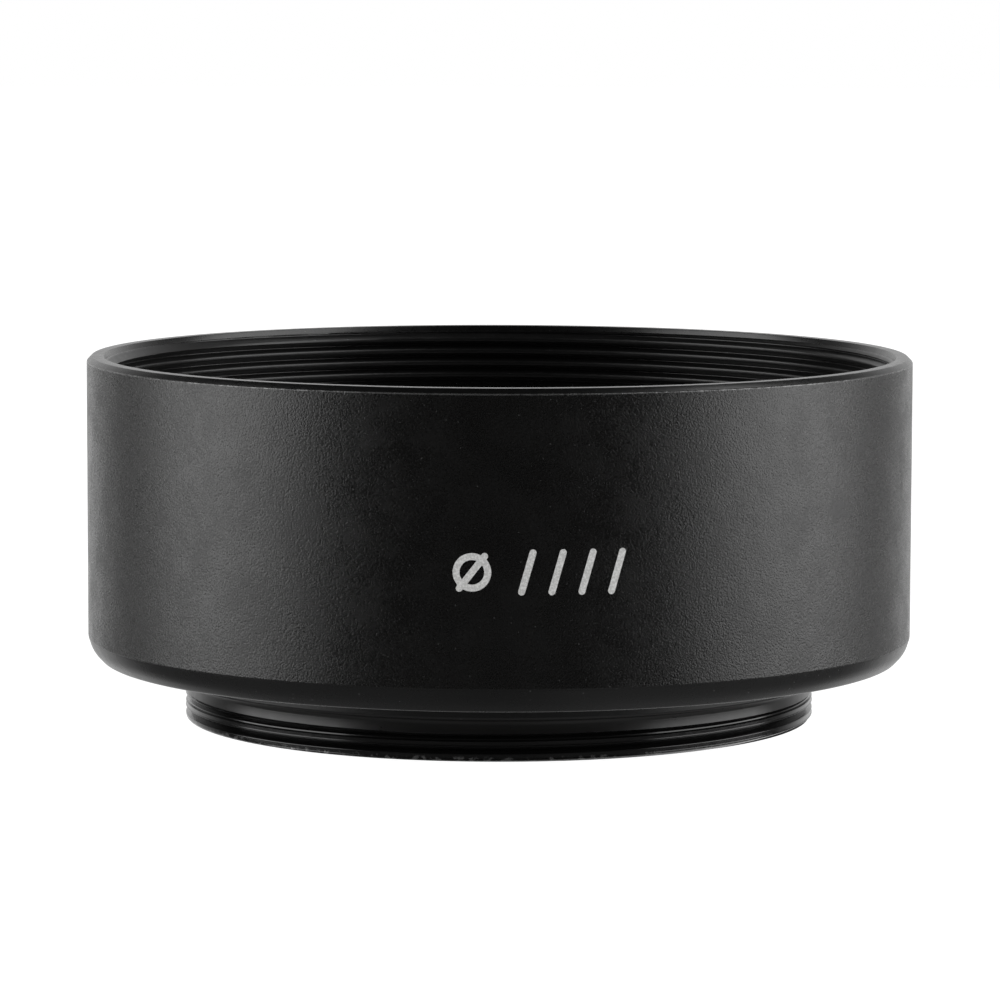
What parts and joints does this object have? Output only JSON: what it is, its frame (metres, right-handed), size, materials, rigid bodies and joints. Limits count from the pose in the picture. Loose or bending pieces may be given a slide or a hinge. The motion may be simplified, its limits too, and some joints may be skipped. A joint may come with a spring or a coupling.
{
  "type": "lens hood",
  "caption": "Round screw-in lens hood with a threaded front rim, a coned foot and a threaded rear mounting ring.",
  "frame": {"origin": "centre of the mounting ring's thread end face, on the optical axis", "axes": "+Z along the optical axis from the rear thread to the open front rim; -Y towards the side with the inlaid mark"},
  "size_m": [0.0484, 0.0484, 0.0213],
  "materials": {
    "black_anodised": "fine bead-blasted black anodising",
    "black_satin_ring": "turned satin black anodising",
    "mark_paint": "matte light grey paint fill"
  },
  "bodies": {
    "root": {"hood_barrel": "black_anodised", "mounting_ring": "black_satin_ring", "mark_diameter_sign": "mark_paint", "mark_tick_1": "mark_paint", "mark_tick_2": "mark_paint", "mark_tick_3": "mark_paint", "mark_tick_4": "mark_paint"}
  },
  "joints": []
}
